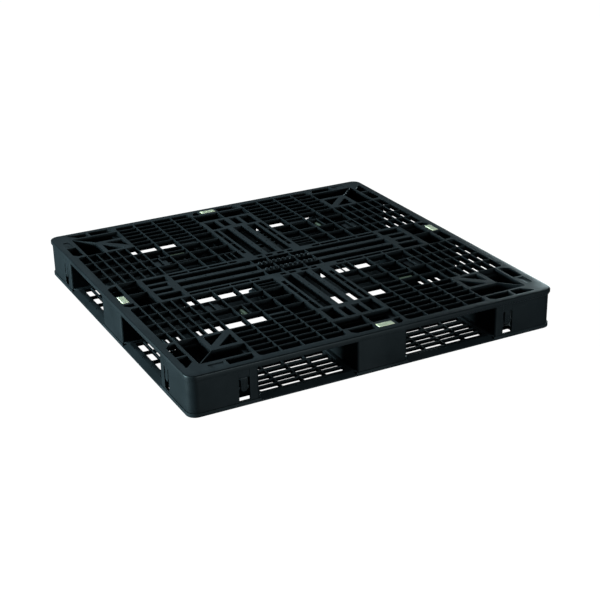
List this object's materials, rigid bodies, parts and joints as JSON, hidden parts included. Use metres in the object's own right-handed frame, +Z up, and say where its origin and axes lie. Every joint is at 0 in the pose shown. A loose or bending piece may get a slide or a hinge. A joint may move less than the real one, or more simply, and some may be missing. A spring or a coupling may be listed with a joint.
{
  "type": "plastic pallet",
  "caption": "Square four-way export pallet in black plastic: open lattice load deck on hollow columns over a base frame with windows, grip pads and snap latches.",
  "frame": {"origin": "centre of the pallet's footprint, on the floor", "axes": "+Z up; the front side faces -Y and the two long bars of the centre beam run along X"},
  "size_m": [1.1, 1.1, 0.12],
  "materials": {
    "deck_plastic": "satin moulded black",
    "base_plastic": "satin moulded black",
    "latch_plastic": "satin moulded black",
    "deck_pad_rubber": "pale green soft rubber",
    "fork_pad_rubber": "pale green soft rubber"
  },
  "bodies": {
    "pallet": {"upper_deck": "deck_plastic", "lower_deck": "base_plastic", "deck_grip_pad_front": "deck_pad_rubber", "fork_grip_pad_front": "fork_pad_rubber", "deck_grip_pad_right": "deck_pad_rubber", "fork_grip_pad_right": "fork_pad_rubber", "deck_grip_pad_back": "deck_pad_rubber", "fork_grip_pad_back": "fork_pad_rubber", "deck_grip_pad_left": "deck_pad_rubber", "fork_grip_pad_left": "fork_pad_rubber"},
    "snap_latch_front_a": {"snap_latch_front_a": "latch_plastic"},
    "snap_latch_front_b": {"snap_latch_front_b": "latch_plastic"},
    "snap_latch_right_a": {"snap_latch_right_a": "latch_plastic"},
    "snap_latch_right_b": {"snap_latch_right_b": "latch_plastic"},
    "snap_latch_back_a": {"snap_latch_back_a": "latch_plastic"},
    "snap_latch_back_b": {"snap_latch_back_b": "latch_plastic"},
    "snap_latch_left_a": {"snap_latch_left_a": "latch_plastic"},
    "snap_latch_left_b": {"snap_latch_left_b": "latch_plastic"}
  },
  "joints": [
    {"name": "latch_flex_front_a", "type": "hinge", "parent": "pallet", "child": "snap_latch_front_a", "pos_m": [-0.398, -0.5445, 0.0754], "axis": [-1, 0, 0], "range_deg": [0, 8]},
    {"name": "latch_flex_front_b", "type": "hinge", "parent": "pallet", "child": "snap_latch_front_b", "pos_m": [0.398, -0.5445, 0.0754], "axis": [-1, 0, 0], "range_deg": [0, 8]},
    {"name": "latch_flex_right_a", "type": "hinge", "parent": "pallet", "child": "snap_latch_right_a", "pos_m": [0.5445, -0.398, 0.0754], "axis": [0, -1, 0], "range_deg": [0, 8]},
    {"name": "latch_flex_right_b", "type": "hinge", "parent": "pallet", "child": "snap_latch_right_b", "pos_m": [0.5445, 0.398, 0.0754], "axis": [0, -1, 0], "range_deg": [0, 8]},
    {"name": "latch_flex_back_a", "type": "hinge", "parent": "pallet", "child": "snap_latch_back_a", "pos_m": [0.398, 0.5445, 0.0754], "axis": [1, 0, 0], "range_deg": [0, 8]},
    {"name": "latch_flex_back_b", "type": "hinge", "parent": "pallet", "child": "snap_latch_back_b", "pos_m": [-0.398, 0.5445, 0.0754], "axis": [1, 0, 0], "range_deg": [0, 8]},
    {"name": "latch_flex_left_a", "type": "hinge", "parent": "pallet", "child": "snap_latch_left_a", "pos_m": [-0.5445, 0.398, 0.0754], "axis": [0, 1, 0], "range_deg": [0, 8]},
    {"name": "latch_flex_left_b", "type": "hinge", "parent": "pallet", "child": "snap_latch_left_b", "pos_m": [-0.5445, -0.398, 0.0754], "axis": [0, 1, 0], "range_deg": [0, 8]}
  ]
}
